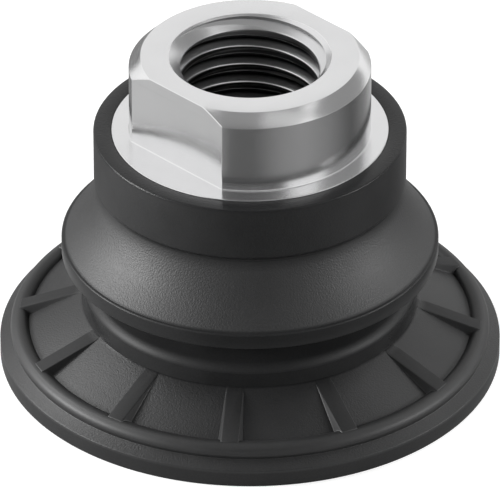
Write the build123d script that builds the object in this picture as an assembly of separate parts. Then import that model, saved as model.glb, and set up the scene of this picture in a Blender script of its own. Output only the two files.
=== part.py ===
from build123d import *
import os
from math import radians, tan

os.makedirs("parts", exist_ok=True)

# Bellows suction cup with a threaded connector, in mm.
# The origin is the centre of the plane that the lip seals on, and Z runs up the cup's axis.
# Every section is drawn as radius and height, and each height starts where the one below ends.

# Lip and membrane of the rubber cup
lip_dia = 42.0
lip_edge = 1.53  # height of the lip's outer edge
seal_width = 1.0  # flat ring that lies on the workpiece
cone_angle = 28.03  # slope of the membrane
bead_dia = 38.56  # circle that the stiffening bead is centred on
bead_radius = 0.8
rib_count = 12
rib_turn = -95.0  # direction of the first rib, 5 degrees off -Y
rib_width = 1.4  # across the flat top
rib_depth = 1.2  # from the flat top down into the membrane
rib_bite = 0.5  # length of the rib inside the wall
rib_draft = 22.0

# Cleats under the membrane, which keep a thin sheet from being sucked in
cleat_width = 1.1
cleat_height = 0.45
cleat_root = 0.5  # depth of the cleat inside the membrane
cleat_in_dia = 28.0
cleat_out_dia = 37.4
cleat_draft = 8.0

# Folds of the rubber cup
wall = 1.8
foot_dia = 28.14  # where the wall rises from the membrane
shoulder_dia = 27.5
shoulder_rise = 1.76
shoulder_round = 1.0
waist_dia = 23.6
waist_rise = 0.8
waist_height = 0.8
waist_round = 0.5
fold_dia = 31.46
fold_rise = 1.44
fold_band = 1.34
fold_land = 0.28  # narrow step between the fold's rim and the bell
fold_round = 0.7  # inside of the fold
bell_rise = 5.64
bell_hollow = 0.36  # depth of the bell's concave curve

# Collar of the rubber cup, which grips the connector
collar_wall = 1.5
collar_height = 4.6
neck_step = 0.3  # step in from the collar to the bell
grip_gap = 0.03
seat_depth = 5.0  # from the collar's top to the ledge that the connector stands on
seat_ledge = 1.3  # thickness of the ledge
ledge_width = 1.9

# Connector
flange_dia = 22.94
flange_proud = 0.05  # height of the flange above the rubber
barb_height = 1.7
barb_lead = 0.6
groove_height = 1.3
groove_depth = 0.9
hub_dia = 20.0
hub_height = 6.96
hub_chamfer = 0.98
across_flats = 17.0
flats_turn = 45.0  # direction of the flats' normal
thread_minor_dia = 11.5
lead_in = 0.98  # chamfer at both mouths of the thread

# Heights and widths that follow from the sizes above
cone_slope = tan(radians(cone_angle))
bead_z = lip_edge + (lip_dia - bead_dia) / 2 * cone_slope
foot_z = lip_edge + (lip_dia - foot_dia) / 2 * cone_slope
shoulder_z = foot_z + shoulder_rise
waist_low_z = shoulder_z + waist_rise
waist_top_z = waist_low_z + waist_height
fold_low_z = waist_top_z + fold_rise
fold_top_z = fold_low_z + fold_band
collar_low_z = fold_top_z + bell_rise
collar_top_z = collar_low_z + collar_height
seat_z = collar_top_z - seat_depth
groove_low_z = seat_z + barb_height
groove_top_z = groove_low_z + groove_height
flange_z = collar_top_z + flange_proud
top_z = flange_z + hub_height
groove_dia = flange_dia - 2 * groove_depth
neck_bore = flange_dia + 2 * grip_gap
collar_dia = neck_bore + 2 * collar_wall


def at(dia, z):
    """A point of a section, from the diameter there and the height."""
    return Vector(dia / 2, z)


def parallel(start, end):
    """The line that runs one wall thickness to the left of a stretch of outline."""
    way = (end - start).normalized()
    return start + Vector(-way.Y, way.X) * wall, way


def crossing(first, second):
    """The inner corner, where the parallels of two stretches meet."""
    (a, u), (b, v) = parallel(*first), parallel(*second)
    return a + u * ((b - a).cross(v).Z / u.cross(v).Z)


# Corners of the cup's outer skin, and of the skin inside it
seal_edge = at(lip_dia - 2 * seal_width, 0)
lip_low = at(lip_dia, 0)
lip_top = at(lip_dia, lip_edge)
foot = at(foot_dia, foot_z)
shoulder = at(shoulder_dia, shoulder_z)
waist_low = at(waist_dia, waist_low_z)
waist_top = at(waist_dia, waist_top_z)
fold_low = at(fold_dia, fold_low_z)
fold_top = at(fold_dia, fold_top_z)
land = at(fold_dia - 2 * fold_land, fold_top_z)
neck = at(collar_dia - 2 * neck_step, collar_low_z)
inner_foot = crossing((lip_top, foot), (foot, shoulder))
inner_shoulder = crossing((foot, shoulder), (shoulder, waist_low))
inner_waist_low = crossing((shoulder, waist_low), (waist_low, waist_top))
inner_waist_top = crossing((waist_low, waist_top), (waist_top, fold_low))
inner_fold = crossing((waist_top, fold_low), (land, neck))


def bell_middle():
    """The bell is an arc, hollowed from the straight line between its ends."""
    way = (neck - land).normalized()
    return (land + neck) / 2 + Vector(-way.Y, way.X) * bell_hollow


def under_ledge():
    """Where the ledge's underside meets the inner skin of the bell."""
    start, way = parallel(land, neck)
    return start + way * ((seat_z - seat_ledge - start.Y) / way.Y)


def cup_section():
    """The rubber's section: outer skin up to the collar, down the neck, then back inside,
    and the round bead, half sunk in the membrane."""
    ring_dia = groove_dia + 2 * grip_gap
    throat_dia = neck_bore - 2 * ledge_width
    inner_round = waist_round + wall / 2
    with BuildSketch(Plane.XZ) as section:
        with BuildLine():
            FilletPolyline(
                seal_edge, lip_low, lip_top, foot, shoulder, waist_low, waist_top,
                fold_low, fold_top, land,
                radius=[0, 0, 0, shoulder_round, waist_round, waist_round, 0, 0],
            )
            ThreePointArc(land, bell_middle(), neck)
            Polyline(
                neck,
                at(collar_dia, collar_low_z),
                at(collar_dia, collar_top_z),
                at(neck_bore, collar_top_z),
                at(neck_bore, groove_top_z),
                at(ring_dia, groove_top_z),
                at(ring_dia, groove_low_z),
                at(neck_bore, groove_low_z),
                at(neck_bore, seat_z),
                at(throat_dia, seat_z),
            )
            FilletPolyline(
                at(throat_dia, seat_z),
                at(throat_dia, seat_z - seat_ledge),
                under_ledge(),
                inner_fold,
                inner_waist_top,
                inner_waist_low,
                inner_shoulder,
                inner_foot,
                seal_edge,
                radius=[
                    0, fold_round, fold_round, inner_round, inner_round, waist_round,
                    fold_round,
                ],
            )
        make_face()
        with Locations(at(bead_dia, bead_z)):
            Circle(bead_radius)
    return section.sketch


def drafted_bar(start, end, width, depth, draft):
    """A straight bar with drafted sides: its flat face runs from start to end, above or
    below its root, depending on which way it runs."""
    start, end = Vector(start.X, 0, start.Y), Vector(end.X, 0, end.Y)
    half_top = width / 2
    half_root = half_top + depth * tan(radians(draft))
    with BuildPart() as bar:
        with BuildSketch(Plane(origin=start, x_dir=(0, 1, 0), z_dir=end - start)):
            with BuildLine():
                Polyline(
                    (-half_top, 0), (half_top, 0), (half_root, depth), (-half_root, depth),
                    close=True,
                )
            make_face()
        extrude(amount=(end - start).length)
    return bar.part


def rib():
    """A rib's flat top runs from the bead's crown in to the foot of the wall."""
    crown = at(bead_dia, bead_z + bead_radius)
    way = (foot - crown).normalized()
    return drafted_bar(crown, foot + way * rib_bite, rib_width, rib_depth, rib_draft)


def cleat():
    """A cleat hangs under the membrane, parallel to its underside."""
    way = (inner_foot - seal_edge).normalized()
    down = Vector(-way.Y, way.X) * cleat_height

    def under(dia):
        return seal_edge + way * ((dia / 2 - seal_edge.X) / way.X) + down

    depth = cleat_height + cleat_root
    ends = under(cleat_in_dia), under(cleat_out_dia)
    return drafted_bar(*ends, cleat_width, depth, cleat_draft)


def bellows_cup():
    """The rubber moulding: folded wall, bead, ribs, and cleats halfway between the ribs."""
    half_step = 180 / rib_count
    with BuildPart() as cup:
        add(revolve(cup_section(), axis=Axis.Z))
        with PolarLocations(0, rib_count, start_angle=rib_turn):
            add(rib())
        with PolarLocations(0, rib_count, start_angle=rib_turn + half_step):
            add(cleat())
    return cup.part


def connector_section():
    """The connector as it is turned, before its flats are milled."""
    mouth_dia = thread_minor_dia + 2 * lead_in
    with BuildSketch(Plane.XZ) as section:
        with BuildLine():
            Polyline(
                at(mouth_dia, seat_z),
                at(flange_dia - 2 * barb_lead, seat_z),
                at(flange_dia, seat_z + barb_lead),
                at(flange_dia, groove_low_z),
                at(groove_dia, groove_low_z),
                at(groove_dia, groove_top_z),
                at(flange_dia, groove_top_z),
                at(flange_dia, flange_z),
                at(hub_dia, flange_z),
                at(hub_dia, top_z - hub_chamfer),
                at(hub_dia - 2 * hub_chamfer, top_z),
                at(mouth_dia, top_z),
                at(thread_minor_dia, top_z - lead_in),
                at(thread_minor_dia, seat_z + lead_in),
                close=True,
            )
        make_face()
    return section.sketch


def threaded_connector():
    """The aluminium connector: turned, then milled with two parallel wrench flats."""
    with BuildPart() as connector:
        add(revolve(connector_section(), axis=Axis.Z))
        with BuildSketch(Plane.XY.offset(flange_z)):
            Circle(hub_dia)
            Rectangle(across_flats, 3 * hub_dia, rotation=flats_turn, mode=Mode.SUBTRACT)
        extrude(amount=hub_height, mode=Mode.SUBTRACT)
    return connector.part


export_step(bellows_cup(), "parts/bellows_cup.step")
export_step(threaded_connector(), "parts/threaded_connector.step")
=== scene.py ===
import bpy
import bmesh
from math import atan2, cos, pi, prod, radians, sin, tan
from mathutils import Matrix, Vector


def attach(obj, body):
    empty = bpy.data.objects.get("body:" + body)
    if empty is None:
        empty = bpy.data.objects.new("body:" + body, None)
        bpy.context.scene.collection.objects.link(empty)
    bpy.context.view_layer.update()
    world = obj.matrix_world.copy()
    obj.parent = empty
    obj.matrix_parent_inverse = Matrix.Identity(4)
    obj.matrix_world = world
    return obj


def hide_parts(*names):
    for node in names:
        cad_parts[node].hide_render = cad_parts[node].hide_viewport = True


# Bellows suction cup with a threaded connector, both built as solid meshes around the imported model.
# Lengths in the dictionaries are millimetres, and mm turns them into Blender's metres. Turns are
# degrees, a lamp's power is watts, and the scale of a pattern is Blender's own.

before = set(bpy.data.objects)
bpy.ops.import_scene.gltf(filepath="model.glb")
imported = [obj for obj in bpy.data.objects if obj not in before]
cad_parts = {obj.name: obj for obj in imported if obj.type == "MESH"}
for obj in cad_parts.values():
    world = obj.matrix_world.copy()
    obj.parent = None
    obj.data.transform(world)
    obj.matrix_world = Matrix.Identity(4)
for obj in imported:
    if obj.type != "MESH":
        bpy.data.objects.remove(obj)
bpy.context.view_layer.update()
mm = 0.001
weld = 0.0005 * mm  # points closer than this are one point
near = 0.002 * mm  # a point this close to a plane lies on it


def choose(piece):
    bpy.ops.object.select_all(action="DESELECT")
    piece.select_set(True)
    bpy.context.view_layer.objects.active = piece


def startEditing(piece):
    choose(piece)
    bpy.ops.object.mode_set(mode="EDIT")
    bpy.ops.mesh.select_mode(type="VERT")
    bpy.ops.mesh.select_all(action="DESELECT")


def stopEditing():
    bpy.ops.object.mode_set(mode="OBJECT")


def pick(piece, kind, test):
    # kind is "verts", "edges" or "faces"; test says of each one whether it is wanted
    bpy.ops.mesh.select_mode(type={"verts": "VERT", "edges": "EDGE", "faces": "FACE"}[kind])
    bpy.ops.mesh.select_all(action="DESELECT")
    mesh = bmesh.from_edit_mesh(piece.data)
    for item in getattr(mesh, kind):
        if test(item):
            item.select = True
    mesh.select_flush_mode()
    bmesh.update_edit_mesh(piece.data)


def applyPlace():
    bpy.ops.object.transform_apply(location=True, rotation=True, scale=True)


def applyModifiers(piece):
    choose(piece)
    for modifier in list(piece.modifiers):
        bpy.ops.object.modifier_apply(modifier=modifier.name)


def combine(piece, other, operation):
    # Boolean of two closed meshes; the other one is used up
    cut = piece.modifiers.new(operation.lower(), "BOOLEAN")
    cut.operation = operation
    cut.solver = "EXACT"
    cut.object = other
    applyModifiers(piece)
    bpy.data.objects.remove(other, do_unlink=True)


def copyRound(piece, count, firstAngle):
    # the piece points along +X; each copy is turned to its place, and all of them are joined
    copies = []
    for number in range(count):
        choose(piece)
        bpy.ops.object.duplicate(linked=False)
        copy = bpy.context.object
        copy.rotation_euler.z = radians(firstAngle + 360 * number / count)
        applyPlace()
        copies.append(copy)
    bpy.data.objects.remove(piece, do_unlink=True)
    choose(copies[0])
    for copy in copies:
        copy.select_set(True)
    bpy.ops.object.join()
    return copies[0]


def weldPoints(piece):
    # a Boolean leaves points on top of each other where its cuts meet
    merge = piece.modifiers.new("weldPoints", "WELD")
    merge.merge_threshold = weld * 0.4
    applyModifiers(piece)


def smooth(piece, angle):
    choose(piece)
    bpy.ops.object.shade_smooth_by_angle(angle=radians(angle))


def addBlock(location, scale):
    bpy.ops.object.select_all(action="DESELECT")
    bpy.ops.mesh.primitive_cube_add(size=1, location=location, scale=scale)
    applyPlace()
    return bpy.context.object


def drawSection(name, corners):
    # corners are (radius, height, rounding, pieces of the rounding), drawn in the XZ plane
    bpy.ops.object.select_all(action="DESELECT")
    bpy.ops.mesh.primitive_plane_add(size=mm, location=(0, 0, 0))
    piece = bpy.context.object
    piece.name = name
    startEditing(piece)
    bpy.ops.mesh.select_all(action="SELECT")
    bpy.ops.mesh.merge(type="CENTER")
    points = [Vector((r * mm, 0, z * mm)) for r, z, *rest in corners]
    bpy.ops.transform.translate(value=points[0])
    for before, here in zip(points, points[1:] + points[:1]):
        bpy.ops.mesh.extrude_vertices_move(TRANSFORM_OT_translate={"value": here - before})
    bpy.ops.mesh.select_all(action="SELECT")
    bpy.ops.mesh.remove_doubles(threshold=weld)
    for place, (r, z, rounding, parts) in enumerate(corners):
        if not rounding:
            continue
        here = points[place]
        back = (points[place - 1] - here).normalized()
        ahead = (points[(place + 1) % len(points)] - here).normalized()
        reach = rounding * mm / tan(back.angle(ahead) / 2)
        pick(piece, "verts", lambda v: (v.co - here).length < weld)
        bpy.ops.mesh.bevel(offset=reach, segments=parts, profile=0.5, affect="VERTICES")
    return piece


def turn(piece, steps):
    # spins the section that is being edited into a closed ring
    bpy.ops.mesh.select_all(action="SELECT")
    bpy.ops.mesh.spin(
        steps=steps, angle=2 * pi, center=(0, 0, 0), axis=(0, 0, 1), use_auto_merge=True
    )
    bpy.ops.mesh.select_all(action="SELECT")
    bpy.ops.mesh.remove_doubles(threshold=weld)
    bpy.ops.mesh.normals_make_consistent(inside=False)
    stopEditing()


view = {
    "distance": 640.0,
    "elevation": 32.396,  # above the floor, looking along +Y
    "aimHeight": 10.287,
    "lens": 552.0,
    "sensor": 36.0,
    "nearest": 10.0,
    "farthest": 20000.0,
}


def addCamera():
    tilt = radians(view["elevation"])
    aim = Vector((0, 0, view["aimHeight"]))
    place = Vector((0, -cos(tilt), sin(tilt))) * view["distance"] + aim
    bpy.ops.object.camera_add(location=place * mm, rotation=(pi / 2 - tilt, 0, 0))
    camera = bpy.context.object
    camera.data.sensor_fit = "HORIZONTAL"
    camera.data.sensor_width = view["sensor"]
    camera.data.lens = view["lens"]
    camera.data.clip_start = view["nearest"] * mm
    camera.data.clip_end = view["farthest"] * mm
    bpy.context.scene.camera = camera


addCamera()
print("camera placed")


cupSizes = {
    "steps": 256,  # round the axis
    "lipRadius": 21.0,
    "lipEdge": 1.53,  # height of the lip's outer edge
    "lipRound": 0.13,
    "sealRadius": 20.0,
    "beadRadius": 19.28,  # of the circle that the bead is centred on
    "beadHeight": 2.446,
    "beadRound": 0.8,
    "beadCrease": 0.07,
    "foot": (14.07, 5.219),  # radius and height of the top of the membrane
    # corners of the two skins, as drawSection takes them
    "outside": [
        (13.75, 6.979, 1.0, 8),  # shoulder
        (11.8, 7.779, 0.5, 5),  # waist
        (11.8, 8.579, 0.5, 5),
        (15.73, 10.019, 0.13, 4),  # rim of the fold
        (15.73, 11.359, 0.13, 4),
        (15.45, 11.359, 0.05, 2),  # foot of the bell
        (13.33, 14.4, 9.6, 12),  # its hollow
        (12.62, 16.7, 0.35, 6),  # neck
        (12.97, 17.08, 0.12, 4),  # collar
        (12.97, 21.599, 0.13, 4),
    ],
    "inside": [
        (11.5, 21.599, 0.06, 2),  # mouth of the collar
        (11.5, 19.599, 0, 0),  # ring that fills the connector's groove
        (10.6, 19.599, 0, 0),
        (10.6, 18.299, 0, 0),
        (11.5, 18.299, 0, 0),
        (11.5, 16.599, 0, 0),  # ledge that the connector stands on
        (9.6, 16.599, 0.1, 2),
        (9.6, 15.299, 0.1, 2),
        (11.526, 15.299, 0.7, 5),  # under the ledge
        (13.555, 11.139, 0.7, 6),  # in the fold
        (10.0, 9.837, 1.4, 6),  # in the waist
        (10.0, 6.572, 1.4, 6),
        (12.155, 5.688, 0.5, 4),  # in the shoulder
        (12.455, 4.04, 0.7, 5),  # top of the hollow under the membrane
    ],
    "smoothTo": 32,  # steeper edges stay sharp
}

# outer and inner are the ends of a bar's flat face, as radius and height
ribSizes = {
    "count": 12,
    "first": -95.0,
    "width": 1.4,
    "draft": 22.0,
    "outer": (19.4, 3.3),
    "inner": (13.7, 5.36),
    "depth": 1.2,
    "faces": 1,  # its flat face looks up
    "edge": 0.1,
    "edgeParts": 3,
}

cleatSizes = {
    "count": 12,
    "first": -80.0,
    "width": 1.1,
    "draft": 8.0,
    "outer": (18.49, 0.299),
    "inner": (13.79, 2.816),
    "depth": 0.95,
    "faces": -1,  # and this one's looks down
    "edge": 0.15,
    "edgeParts": 3,
}


def membraneSlope():
    # width and rise of the membrane, from the lip's edge in to the foot of the wall
    footR, footZ = cupSizes["foot"]
    return cupSizes["lipRadius"] - footR, footZ - cupSizes["lipEdge"]


def cupCorners():
    size = cupSizes
    width, rise = membraneSlope()
    slope = atan2(rise, width)
    along = Vector((-cos(slope), sin(slope)))  # up the membrane
    out = Vector((sin(slope), cos(slope)))  # square to it
    centre = Vector((size["beadRadius"], size["beadHeight"]))
    reach = size["beadRound"]
    low, high = centre - along * reach, centre + along * reach
    crease, crown = (size["beadCrease"], 2), (reach * 0.99, 8)  # just short of a half circle
    return [
        (size["sealRadius"], 0, 0, 0),
        (size["lipRadius"], 0, size["lipRound"], 3),
        (size["lipRadius"], size["lipEdge"], size["lipRound"], 4),
        (*low, *crease),
        (*(low + out * reach), *crown),
        (*(high + out * reach), *crown),
        (*high, *crease),
        (*size["foot"], 0, 0),
        *size["outside"],
        *size["inside"],
    ]


def addBar(name, size):
    # a drafted bar along +X: a flat face from outer to inner, and a wider root on its other side
    (outR, outZ), (inR, inZ) = size["outer"], size["inner"]
    length, width, depth = outR - inR, size["width"], size["depth"]
    middle = Vector((outR + inR, 0, outZ + inZ)) / 2 - Vector((0, 0, size["faces"] * depth / 2))
    bar = addBlock(middle * mm, (length * mm, width * mm, depth * mm))
    bar.name = name
    startEditing(bar)
    centreX = middle.x * mm
    pick(bar, "verts", lambda v: v.co.x > centreX)
    bpy.ops.transform.translate(value=(0, 0, (outZ - inZ) / 2 * mm))
    pick(bar, "verts", lambda v: v.co.x < centreX)
    bpy.ops.transform.translate(value=(0, 0, (inZ - outZ) / 2 * mm))

    def onFlat(vertex):
        share = (vertex.co.x / mm - inR) / length
        return abs(vertex.co.z - (inZ + (outZ - inZ) * share) * mm) < near

    def onFlatOutside(edge):
        return all(onFlat(v) for v in edge.verts) and any(v.co.x > centreX for v in edge.verts)

    widen = 1 + 2 * depth * tan(radians(size["draft"])) / width
    pick(bar, "verts", lambda v: not onFlat(v))
    bpy.ops.transform.resize(value=(1, widen, 1))
    pick(bar, "edges", onFlatOutside)
    bpy.ops.mesh.bevel(
        offset=size["edge"] * mm, segments=size["edgeParts"], profile=0.5, affect="EDGES"
    )
    stopEditing()
    return bar


def addCup():
    cup = drawSection("bellowsCup", cupCorners())
    turn(cup, cupSizes["steps"])
    for name, size in (("rib", ribSizes), ("cleat", cleatSizes)):
        combine(cup, copyRound(addBar(name, size), size["count"], size["first"]), "UNION")
    weldPoints(cup)
    smooth(cup, cupSizes["smoothTo"])
    return cup


connectorSizes = {
    "steps": 192,  # round the axis
    "foot": 16.599,
    "flangeRadius": 11.47,
    "barbLead": 0.6,
    "grooveRadius": 10.57,
    "grooveLow": 18.299,
    "grooveTop": 19.599,
    "flangeTop": 21.649,
    "flangeRound": (0.08, 4),  # rounding, and pieces of it
    "hubRadius": 10.0,
    "hubChamfer": 0.98,
    "top": 28.609,
    "mouthChamfer": 0.98,  # at both ends of the bore
    "edge": 0.04,
    "fillet": (0.1, 6),
    "flats": 17.0,  # across
    "flatsTurn": 45.0,
    "flatEdge": 0.05,
    "flatRim": 20,  # an edge of a flat is eased where it turns by more than this
    "cutter": (6.0, 24.0, 10.0),  # block that leaves one flat
    "cutterRound": (0.12, 6),
    "smoothTo": 17,  # steeper edges stay sharp
}

threadSizes = {
    "pitch": 1.725,
    "turns": 8,
    "startHeight": 15.79,  # middle of the groove on the +X side
    "crest": 5.75,
    "profile": [(5.55, 0.78), (5.83, 0.5), (6.58, 0.14)],  # radius and half height of the groove
}


def connectorCorners():
    size = connectorSizes
    edge, foot, top = size["edge"], size["foot"], size["top"]
    flange, groove, hub = size["flangeRadius"], size["grooveRadius"], size["hubRadius"]
    crest, chamfer = threadSizes["crest"], size["mouthChamfer"]
    return [
        (crest + chamfer, foot, edge, 2),
        (flange - size["barbLead"], foot, edge, 2),
        (flange, foot + size["barbLead"], edge, 2),
        (flange, size["grooveLow"], edge, 2),
        (groove, size["grooveLow"], 0, 0),
        (groove, size["grooveTop"], 0, 0),
        (flange, size["grooveTop"], edge, 2),
        (flange, size["flangeTop"], *size["flangeRound"]),
        (hub, size["flangeTop"], *size["fillet"]),
        (hub, top - size["hubChamfer"], edge, 3),
        (hub - size["hubChamfer"], top, edge, 3),
        (crest + chamfer, top, edge, 3),
        (crest, top - chamfer, edge, 2),
        (crest, foot + chamfer, edge, 2),
    ]


def addFlatCutter(turned):
    # a block that leaves one flat, with the small rounding that its mill leaves at the foot
    size = connectorSizes
    deep, wide, tall = size["cutter"]
    middleX, middleZ = size["flats"] / 2 + deep / 2, size["flangeTop"] + tall / 2
    block = addBlock((middleX * mm, 0, middleZ * mm), (deep * mm, wide * mm, tall * mm))
    startEditing(block)

    def atFoot(edge):
        return all(v.co.x < middleX * mm and v.co.z < middleZ * mm for v in edge.verts)

    pick(block, "edges", atFoot)
    rounding, parts = size["cutterRound"]
    bpy.ops.mesh.bevel(offset=rounding * mm, segments=parts, profile=0.5, affect="EDGES")
    stopEditing()
    block.rotation_euler.z = radians(turned)
    applyPlace()
    return block


def facing(turned):
    # direction on the floor, from its turn
    return Vector((cos(radians(turned)), sin(radians(turned)), 0))


def easeFlatEdges(connector, turned):
    # the mill leaves a hair of a chamfer where a flat meets the turned faces
    size = connectorSizes
    square = facing(turned)

    def isRim(edge):
        onFlat = all(abs(v.co.dot(square) - size["flats"] / 2 * mm) < near for v in edge.verts)
        return onFlat and edge.calc_face_angle(0) > radians(size["flatRim"])

    startEditing(connector)
    pick(connector, "edges", isRim)
    bpy.ops.mesh.bevel(
        offset=size["flatEdge"] * mm, segments=1, affect="EDGES", clamp_overlap=False
    )
    stopEditing()


def keepPlane(connector):
    # sharp borders round the plane faces, so that the small edges beside them don't shade them
    size = connectorSizes
    square, up = facing(size["flatsTurn"]), Vector((0, 0, 1))
    reach = size["flats"] / 2
    planes = ((square, reach), (-square, reach), (up, size["flangeTop"]), (up, size["top"]))
    startEditing(connector)
    for way, distance in planes:

        def onPlane(face):
            return all(abs(v.co.dot(way) - distance * mm) < near for v in face.verts)

        pick(connector, "faces", onPlane)
        bpy.ops.mesh.region_to_loop()
        bpy.ops.mesh.mark_sharp()
    stopEditing()


def addThreadCutter():
    # the groove's section, carried up the bore in a helix
    size = threadSizes
    middle = size["startHeight"]
    above = [(r, middle + half, 0, 0) for r, half in size["profile"]]
    below = [(r, middle - half, 0, 0) for r, half in reversed(size["profile"])]
    cutter = drawSection("threadCutter", above + below)
    stopEditing()
    sweep = cutter.modifiers.new("helix", "SCREW")
    sweep.axis = "Z"
    sweep.angle = 2 * pi
    sweep.screw_offset = size["pitch"] * mm
    sweep.iterations = size["turns"]
    sweep.steps = sweep.render_steps = connectorSizes["steps"]
    sweep.use_merge_vertices = False
    applyModifiers(cutter)
    startEditing(cutter)
    afterStart = (middle + size["pitch"] / 2) * mm
    for atThisEnd in (lambda z: z < afterStart, lambda z: z > afterStart):
        pick(cutter, "edges", lambda e: e.is_boundary and all(atThisEnd(v.co.z) for v in e.verts))
        bpy.ops.mesh.edge_face_add()
    bpy.ops.mesh.select_all(action="SELECT")
    bpy.ops.mesh.normals_make_consistent(inside=False)
    stopEditing()
    return cutter


def addConnector():
    size = connectorSizes
    connector = drawSection("threadedConnector", connectorCorners())
    turn(connector, size["steps"])
    for turned in (size["flatsTurn"], size["flatsTurn"] + 180):
        combine(connector, addFlatCutter(turned), "DIFFERENCE")
        easeFlatEdges(connector, turned)
    combine(connector, addThreadCutter(), "DIFFERENCE")
    weldPoints(connector)
    smooth(connector, size["smoothTo"])
    keepPlane(connector)
    return connector


class Wire:
    # a socket that takes part in sums; every sum adds its Math node
    def __init__(self, tree, socket):
        self.tree = tree
        self.socket = socket

    def sum(self, operation, first, second):
        settings = {"operation": operation}
        return Board(self.tree).add("ShaderNodeMath", settings, {0: first, 1: second})

    def __add__(self, other):
        return self.sum("ADD", self, other)

    def __radd__(self, other):
        return self.sum("ADD", other, self)

    def __sub__(self, other):
        return self.sum("SUBTRACT", self, other)

    def __rsub__(self, other):
        return self.sum("SUBTRACT", other, self)

    def __mul__(self, other):
        return self.sum("MULTIPLY", self, other)

    def __rmul__(self, other):
        return self.sum("MULTIPLY", other, self)

    def __truediv__(self, other):
        return self.sum("DIVIDE", self, other)

    def __pow__(self, other):
        return self.sum("POWER", self, other)

    def __gt__(self, other):
        return self.sum("GREATER_THAN", self, other)

    def __lt__(self, other):
        return self.sum("LESS_THAN", self, other)

    def least(self, other):
        return self.sum("MINIMUM", self, other)

    def most(self, other):
        return self.sum("MAXIMUM", self, other)

    def ramp(self, start, full):
        # 0 up to start, 1 from full on, and even between them; full may be the lower one
        return Board(self.tree).add("ShaderNodeMapRange", None, {0: self, 1: start, 2: full})

    def also(self, output):
        # another output of the same node
        return Wire(self.tree, self.socket.node.outputs[output])


class Board:
    # one node tree; every node gets into it by add
    def __init__(self, tree):
        self.tree = tree

    def add(self, kind, settings=None, sockets=None, output=0):
        node = self.tree.nodes.new(kind)
        for key, value in (settings or {}).items():
            if key == "stops":
                ramp = node.color_ramp
                while len(ramp.elements) < len(value):
                    ramp.elements.new(0.5)
                for element, (place, shade) in zip(ramp.elements, value):
                    element.position = place
                    element.color = (shade, shade, shade, 1)
            else:
                setattr(node, key, value)
        for key, value in (sockets or {}).items():
            if isinstance(value, Wire):
                self.tree.links.new(value.socket, node.inputs[key])
            else:
                node.inputs[key].default_value = value
        return Wire(self.tree, node.outputs[output]) if len(node.outputs) else None

    def places(self):
        # Object coordinates, together and one by one
        place = self.add("ShaderNodeTexCoord", output=3)
        split = self.add("ShaderNodeSeparateXYZ", None, {0: place})
        return place, split.also(0), split.also(1), split.also(2)

    def noise(self, place, scale, detail):
        sockets = {"Vector": place, "Scale": scale, "Detail": detail}
        return self.add("ShaderNodeTexNoise", None, sockets)

    def blend(self, share, first, second):
        # a colour from first to second
        colours = [c if isinstance(c, Wire) else (*c, 1) for c in (first, second)]
        sockets = {0: share, 6: colours[0], 7: colours[1]}
        return self.add("ShaderNodeMix", {"data_type": "RGBA"}, sockets, output=2)

    def bump(self, distance, height):
        sockets = {"Strength": 1.0, "Distance": distance * mm, "Height": height}
        return self.add("ShaderNodeBump", None, sockets)


def newMaterial(name):
    material = bpy.data.materials.new(name)
    material.use_nodes = True
    material.node_tree.nodes.clear()
    return material, Board(material.node_tree)


rubberLook = {
    "colour": (0.015, 0.0152, 0.0156),
    "bloom": (0.021, 0.0212, 0.0217),  # dull film on the highest grain
    "bloomFade": (0.75, 1.25),  # grain and patches together, where the film starts and is full
    "polished": {"roughness": 0.39, "specular": 0.27},
    "eroded": {"roughness": 0.52, "specular": 0.6},
    # the polished skin has another roughness in these zones
    "roughness": {"wall": 0.22, "shoulder": 0.5, "top": 0.17, "ribs": 0.7, "lip": 0.6},
    # the share of eroded skin in a zone, and how deep the grain is there
    "erosion": {"bell": 1.0, "membrane": 0.5, "bead": 0.75, "ribs": 0.15, "collar": 0.35},
    "grainDepth": {"bell": 1.0, "membrane": 1.0, "top": 0.7, "collar": 0.35},
    "leastDepth": 0.06,  # of the grain anywhere
    "grainScale": 7000,
    "grainHeight": 0.032,
    "pebbles": 0.8,
    "cracks": 0.2,
    "middle": 0.32,  # of pebbles less cracks, which stays level with the skin
    "grainRoughness": 0.15,
    "patchScale": 260,
    "patchRoughness": 0.08,
    # a zone fades in from the first number to the second, in all of its measures
    "zones": {
        "bell": [("height", 11.4, 11.55), ("height", 16.7, 15.7)],
        "membrane": [("lift", 0.13, 0.05), ("lift", -0.3, -0.15), ("radius", 14.1, 14.2)],
        "bead": [("fromBead", 0.88, 0.83)],
        "ribs": [
            ("lift", 0.05, 0.13), ("radius", 14.1, 14.2),
            ("fromBead", 0.83, 0.88), ("height", 5.4, 5.399),
        ],
        "collar": [("height", 17.0, 17.3), ("height", 21.5, 21.3)],
        "wall": [("height", 6.5, 6.3), ("radius", 14.3, 14.2)],
        "top": [("height", 21.45, 21.55)],
        "lip": [("height", 1.5, 1.42), ("radius", 20.8, 20.9)],
        "shoulder": [("height", 6.4, 6.6), ("height", 9.6, 9.4)],
    },
}


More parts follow.
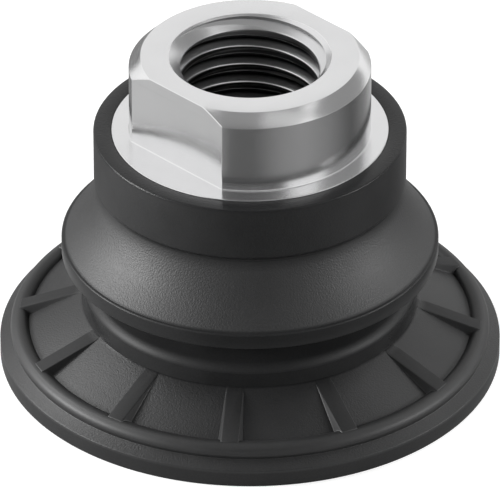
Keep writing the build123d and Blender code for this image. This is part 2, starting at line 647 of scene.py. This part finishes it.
def rubberMaterial():
    # the mould is polished at the folds and ribs, and eroded on the bell and the membrane
    look, size = rubberLook, cupSizes
    material, board = newMaterial("mouldedRubber")
    place, x, y, z = board.places()
    radius = (x * x + y * y) ** 0.5 / mm
    height = z / mm
    width, rise = membraneSlope()
    aside, above = radius - size["beadRadius"], height - size["beadHeight"]
    # lift is the height above the membrane, and fromBead the distance to the middle of the bead
    measures = {
        "radius": radius,
        "height": height,
        "lift": height - size["lipEdge"] - (size["lipRadius"] - radius) * (rise / width),
        "fromBead": (aside * aside + above * above) ** 0.5,
    }
    zones = {
        name: prod(measures[measure].ramp(start, full) for measure, start, full in fades)
        for name, fades in look["zones"].items()
    }

    def together(shares):
        return sum(zones[name] * share for name, share in shares.items()).least(1.0)

    least = look["leastDepth"]
    depth = together(look["grainDepth"]) * (1 - least) + least
    grain = board.noise(place, look["grainScale"], 1.0)
    cells = board.add("ShaderNodeTexVoronoi", None, {"Vector": place, "Scale": look["grainScale"]})
    patches = board.noise(place, look["patchScale"], 2.0)
    leather = (grain * look["pebbles"] - cells * look["cracks"] - look["middle"]) * depth
    bump = board.bump(look["grainHeight"], leather)
    film = (patches + grain).ramp(*look["bloomFade"])
    colour = board.blend(film, look["colour"], look["bloom"])

    def rubber(kind, roughness):
        sockets = {
            "Base Color": colour,
            "Roughness": roughness + (patches - 0.5) * look["patchRoughness"],
            "Specular IOR Level": look[kind]["specular"],
            "Normal": bump,
        }
        return board.add("ShaderNodeBsdfPrincipled", None, sockets)

    polish = look["polished"]["roughness"]
    zoned = sum(zones[name] * (own - polish) for name, own in look["roughness"].items())
    polished = rubber("polished", polish + zoned)
    dull = look["eroded"]["roughness"] + (grain - 0.5) * look["grainRoughness"]
    eroded = rubber("eroded", dull)
    sockets = {0: together(look["erosion"]), 1: polished, 2: eroded}
    skin = board.add("ShaderNodeMixShader", None, sockets)
    board.add("ShaderNodeOutputMaterial", None, {0: skin})
    return material


metalLook = {
    "colour": (0.82, 0.82, 0.825),
    "spots": (0.88, 0.88, 0.885),
    "spotScale": 420,
    "root": (0.04, 0.04, 0.041),  # painted shade: this dark grey darkens the bottom of the thread, standing in for the shade deep in the bore
    # share of this dark grey in the whole bore, and what roots, crests and lines on crests add; the
    # darkening is painted shade
    "boreShading": {"bore": 0.1, "roots": 0.85, "crests": 0.3, "lines": 0.5},
    "lineFade": (0.6, 0.4),
    "roughness": 0.22,
    "boreRoughness": 0.08,  # these three are added
    "flatRoughness": -0.02,
    "markRoughness": 0.1,
    "turnedScale": 9000,
    "milledScale": 5400,
    "boredScale": 4950,
    "milledStretch": 0.04,  # of the marks along a flat
    "markHeight": 0.0006,
    "boreMarks": 9,  # times this height is added in the bore
    # radii and heights where the zones of the finish end
    "boreRadius": 6.69,
    "rootRadii": (6.25, 6.5),
    "crestRadius": 5.77,
    "threadTop": 27.5,  # just below the chamfer of the mouth
    "flatDistance": 8.49,  # from the axis
    "flatLow": 21.7,
}


def metalMaterial():
    # turned marks run round the axis, and milled ones along the flats; the bore is darkened with
    # painted shade, deepest at the roots of the thread
    look = metalLook
    material, board = newMaterial("turnedAluminium")
    place, x, y, z = board.places()
    radius = (x * x + y * y) ** 0.5
    square = facing(connectorSizes["flatsTurn"])
    outward, across = x * square.x + y * square.y, x * square.y - y * square.x
    inThread = z < look["threadTop"] * mm
    inBore = radius < look["boreRadius"] * mm
    inRoot = radius.ramp(*(limit * mm for limit in look["rootRadii"])) * inThread
    onCrest = inThread * (radius < look["crestRadius"] * mm)
    fromFlat = outward * outward > (look["flatDistance"] * mm) ** 2
    onFlat = fromFlat * (z > look["flatLow"] * mm)

    rings = board.add("ShaderNodeCombineXYZ", None, {0: radius, 1: z})
    strokes = board.add("ShaderNodeCombineXYZ", None, {0: across * look["milledStretch"], 1: z})
    turned = board.noise(rings, look["turnedScale"], 3.0)
    milled = board.noise(strokes, look["milledScale"], 3.0)
    bored = board.noise(rings, look["boredScale"], 1.0)
    marks = turned * (1 - onFlat) + milled * onFlat

    # painted shade: the bore, the roots of the thread and the crests with their fine lines are
    # darkened towards the dark grey
    boreShading = look["boreShading"]
    crestShade = onCrest * (boreShading["crests"] + bored.ramp(*look["lineFade"]) * boreShading["lines"])
    boreShade = inBore * (boreShading["bore"] + inRoot * boreShading["roots"] + crestShade)
    colour = board.blend(board.noise(place, look["spotScale"], 4.0), look["colour"], look["spots"])
    added = inBore * look["boreRoughness"] + onFlat * look["flatRoughness"]
    sockets = {
        "Base Color": board.blend(boreShade, colour, look["root"]),
        "Metallic": 1.0,
        "Roughness": look["roughness"] + added + (marks - 0.5) * look["markRoughness"],
        "Normal": board.bump(look["markHeight"], marks * (1 + inBore * look["boreMarks"])),
    }
    shader = board.add("ShaderNodeBsdfPrincipled", None, sockets)
    board.add("ShaderNodeOutputMaterial", None, {0: shader})
    return material


def dress(piece, material, node):
    piece.data.materials.clear()
    piece.data.materials.append(material)
    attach(piece, "root")
    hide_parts(node)


cup = addCup()
dress(cup, rubberMaterial(), "bellows_cup")
print("bellows cup moulded:", len(cup.data.polygons), "faces")

connector = addConnector()
dress(connector, metalMaterial(), "threaded_connector")
print("connector turned, milled and threaded:", len(connector.data.polygons), "faces")


studio = {
    # place, size and power
    "lamps": {
        "leftLamp": ((-560, -49, 152), (340, 150), 3.9),
        "leftBackLamp": ((-409, 174, 385), (260, 260), 1.5),
        "rightLamp": ((557, -60, 152), (300, 150), 1.65),
        "rightBackLamp": ((385, 222, 385), (260, 260), 1.2),
    },
    "lampAim": (0, 0, 12),
    # place, size, turn and shade of grey
    "cards": {
        "frontCard": ((-115, -260, 400), (370, 260), (0, 0, 0), 0.28),
        "sideCard": ((205, -250, 400), (260, 280), (0, 0, 0), 0.6),
        "ceilingCard": ((55, 110, 390), (390, 480), (0, 0, 0), 0.3),
        "rightCard": ((427, 127, 288), (355, 580), (0, 59, 16), 0.27),
        "lensCard": ((0, -415, 280), (560, 300), (56, 0, 0), 0.06),
        "leftCard": ((-265, 424, 40), (130, 130), (90, 0, 32), 0.15),
        "backCard": ((0, 520, 350), (900, 420), (-58, 0, 0), 0.85),
    },
    "mat": {"inner": 26, "outer": 420, "height": 0.5, "segments": 96},
    # share of the turn round the mat, from -X by -Y, +X and +Y, and the shade of grey there
    "matShades": [
        (0.0, 0.56), (0.15, 0.45), (0.2, 0.1), (0.26, 0.1), (0.32, 0.22), (0.38, 0.27),
        (0.45, 0.2), (0.53, 0.08), (0.6, 0.22), (0.66, 0.48), (0.72, 0.55), (0.8, 0.22),
        (0.9, 0.22), (0.96, 0.5), (1.0, 0.56),
    ],
    "ambient": 0.25,  # of the white world, for everything but direct sight of it
    "floorSize": 8000,
    "floorColour": (0.5, 0.5, 0.5, 1),
    "floorGlow": 0.75,  # of the paper, on top of the light that falls on it
    "floorMirrored": 0.4,  # the same, as the metal and rubber mirror it
    "floorDark": 20.5,  # radius in the cup where the paper doesn't glow
}


# the lamps light the rubber and the paper; the metal only mirrors the room and its cards
litByLamps = bpy.data.collections.new("litByLamps")


def addLamp(name, place, size, power):
    place, aim = Vector(place) * mm, Vector(studio["lampAim"]) * mm
    bpy.ops.object.light_add(type="AREA", location=place)
    lamp = bpy.context.object
    lamp.name = name
    lamp.rotation_euler = (aim - place).to_track_quat("-Z", "Y").to_euler()
    lamp.data.shape = "RECTANGLE"
    lamp.data.size, lamp.data.size_y = (side * mm for side in size)
    lamp.data.energy = power
    lamp.light_linking.receiver_collection = litByLamps


def brightest(board, byCamera, byMirror):
    # how bright the background is for the camera, and for a mirror or glass; 0 for other rays
    camera = board.add("ShaderNodeLightPath")
    glossy, glass = camera.also("Is Glossy Ray"), camera.also("Is Transmission Ray")
    return (camera * byCamera).most(glossy.most(glass) * byMirror)


def addFloor():
    bpy.ops.object.select_all(action="DESELECT")
    bpy.ops.mesh.primitive_plane_add(size=studio["floorSize"] * mm, location=(0, 0, 0))
    floor = bpy.context.object
    floor.name = "studioFloor"
    material, board = newMaterial("palePaper")
    paper = board.add("ShaderNodeBsdfDiffuse", None, {"Color": studio["floorColour"]})
    place = board.add("ShaderNodeTexCoord", output=3)
    fromAxis = board.add("ShaderNodeVectorMath", {"operation": "LENGTH"}, {0: place}, output=1)
    outside = fromAxis > studio["floorDark"] * mm
    strength = outside * brightest(board, studio["floorGlow"], studio["floorMirrored"])
    glow = board.add("ShaderNodeEmission", None, {"Color": (1, 1, 1, 1), "Strength": strength})
    shader = board.add("ShaderNodeAddShader", None, {0: paper, 1: glow})
    board.add("ShaderNodeOutputMaterial", None, {0: shader})
    floor.data.materials.append(material)
    return floor


def addWorld():
    world = bpy.data.worlds.new("whiteStudio")
    world.use_nodes = True
    world.node_tree.nodes.clear()
    bpy.context.scene.world = world
    board = Board(world.node_tree)
    strength = studio["ambient"] + brightest(board, 1.0, 1.0) * (1 - studio["ambient"])
    sockets = {"Color": (1, 1, 1, 1), "Strength": strength}
    shader = board.add("ShaderNodeBackground", None, sockets)
    board.add("ShaderNodeOutputWorld", None, {0: shader})


def onlyForReflections(sheet, material, board, shade):
    # a card glows in its shade of grey, and shows in reflections only
    glow = board.add("ShaderNodeEmission", None, {"Color": shade, "Strength": 1.0})
    board.add("ShaderNodeOutputMaterial", None, {0: glow})
    sheet.data.materials.append(material)
    sheet.visible_camera = False
    sheet.visible_diffuse = False
    sheet.visible_shadow = False


def addCard(name, place, size, turn, shade):
    bpy.ops.object.select_all(action="DESELECT")
    bpy.ops.mesh.primitive_plane_add(size=1, location=Vector(place) * mm)
    sheet = bpy.context.object
    sheet.name = name
    sheet.scale = (size[0] * mm, size[1] * mm, 1)
    sheet.rotation_euler = [radians(part) for part in turn]
    material, board = newMaterial(name + "Grey")
    onlyForReflections(sheet, material, board, (shade, shade, shade, 1))


def addMat():
    # a graded mat on the floor round the part, which the hub mirrors
    mat = studio["mat"]
    bpy.ops.object.select_all(action="DESELECT")
    bpy.ops.mesh.primitive_circle_add(
        vertices=mat["segments"], radius=mat["outer"] * mm, location=(0, 0, mat["height"] * mm)
    )
    sheet = bpy.context.object
    sheet.name = "gradedMat"
    startEditing(sheet)
    bpy.ops.mesh.select_all(action="SELECT")
    bpy.ops.mesh.extrude_edges_move()
    inward = mat["inner"] / mat["outer"]
    bpy.ops.transform.resize(value=(inward, inward, 1))
    stopEditing()
    material, board = newMaterial("gradedCard")
    place = board.add("ShaderNodeTexCoord", output=3)
    share = board.add("ShaderNodeTexGradient", {"gradient_type": "RADIAL"}, {0: place})
    shade = board.add("ShaderNodeValToRGB", {"stops": studio["matShades"]}, {0: share})
    onlyForReflections(sheet, material, board, shade)


floor = addFloor()
addWorld()
for name, lamp in studio["lamps"].items():
    addLamp(name, *lamp)
for name, card in studio["cards"].items():
    addCard(name, *card)
addMat()
for lit in (cup, floor):
    litByLamps.objects.link(lit)
bpy.context.scene.view_settings.view_transform = "Standard"
print("studio lit")
